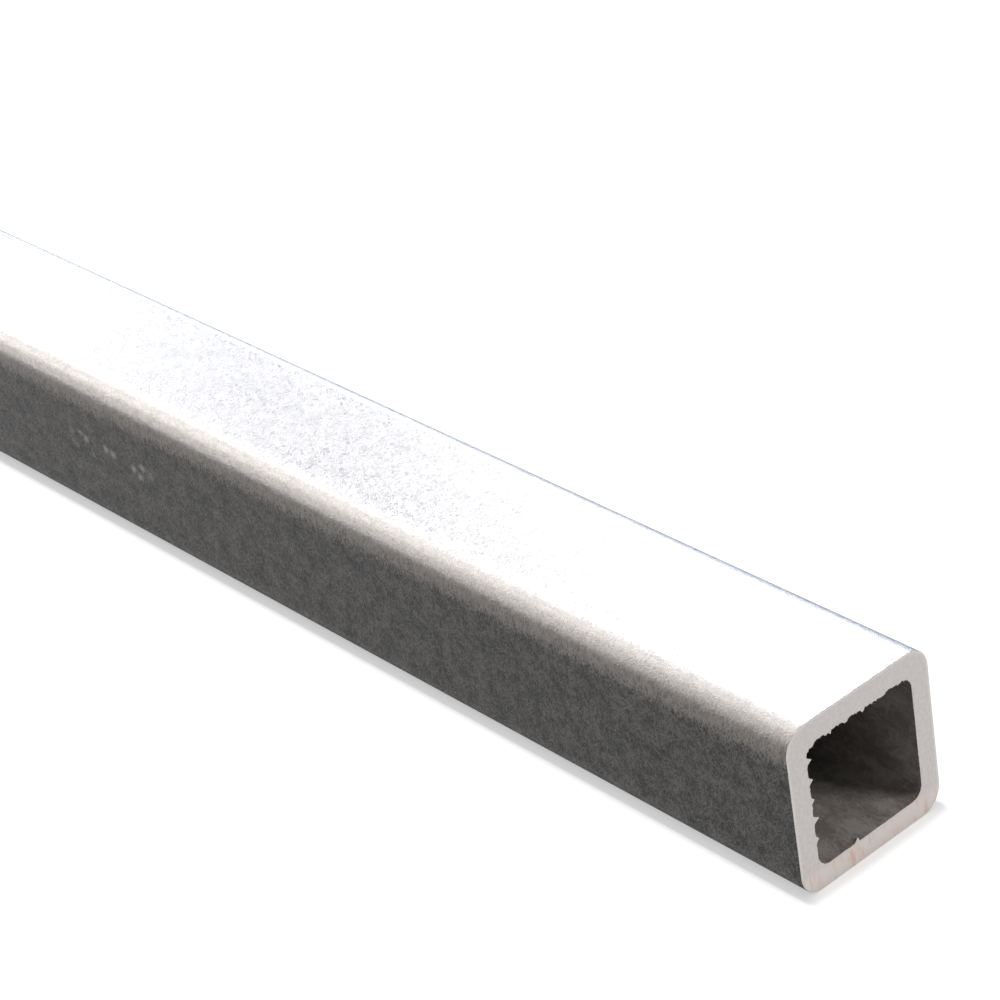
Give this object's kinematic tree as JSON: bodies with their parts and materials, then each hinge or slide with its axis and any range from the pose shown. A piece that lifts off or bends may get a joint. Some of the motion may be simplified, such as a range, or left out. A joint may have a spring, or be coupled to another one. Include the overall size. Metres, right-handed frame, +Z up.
{
  "type": "fibreglass box section",
  "caption": "Straight length of square fibreglass box section with rounded corners, thin even walls and a hollow that runs right through, sawn square at both ends.",
  "frame": {"origin": "middle of the underside, halfway along the length and halfway across the width", "axes": "+X along the length, towards the end the picture shows; +Y across the width; +Z up, from the face it lies on to the face on top"},
  "size_m": [1, 0.0254, 0.0254],
  "materials": {
    "fibreglass": "glossy grey resin skin over glass fibres, dull and pale where it is sawn"
  },
  "bodies": {
    "root": {"box_section": "fibreglass"}
  },
  "joints": []
}
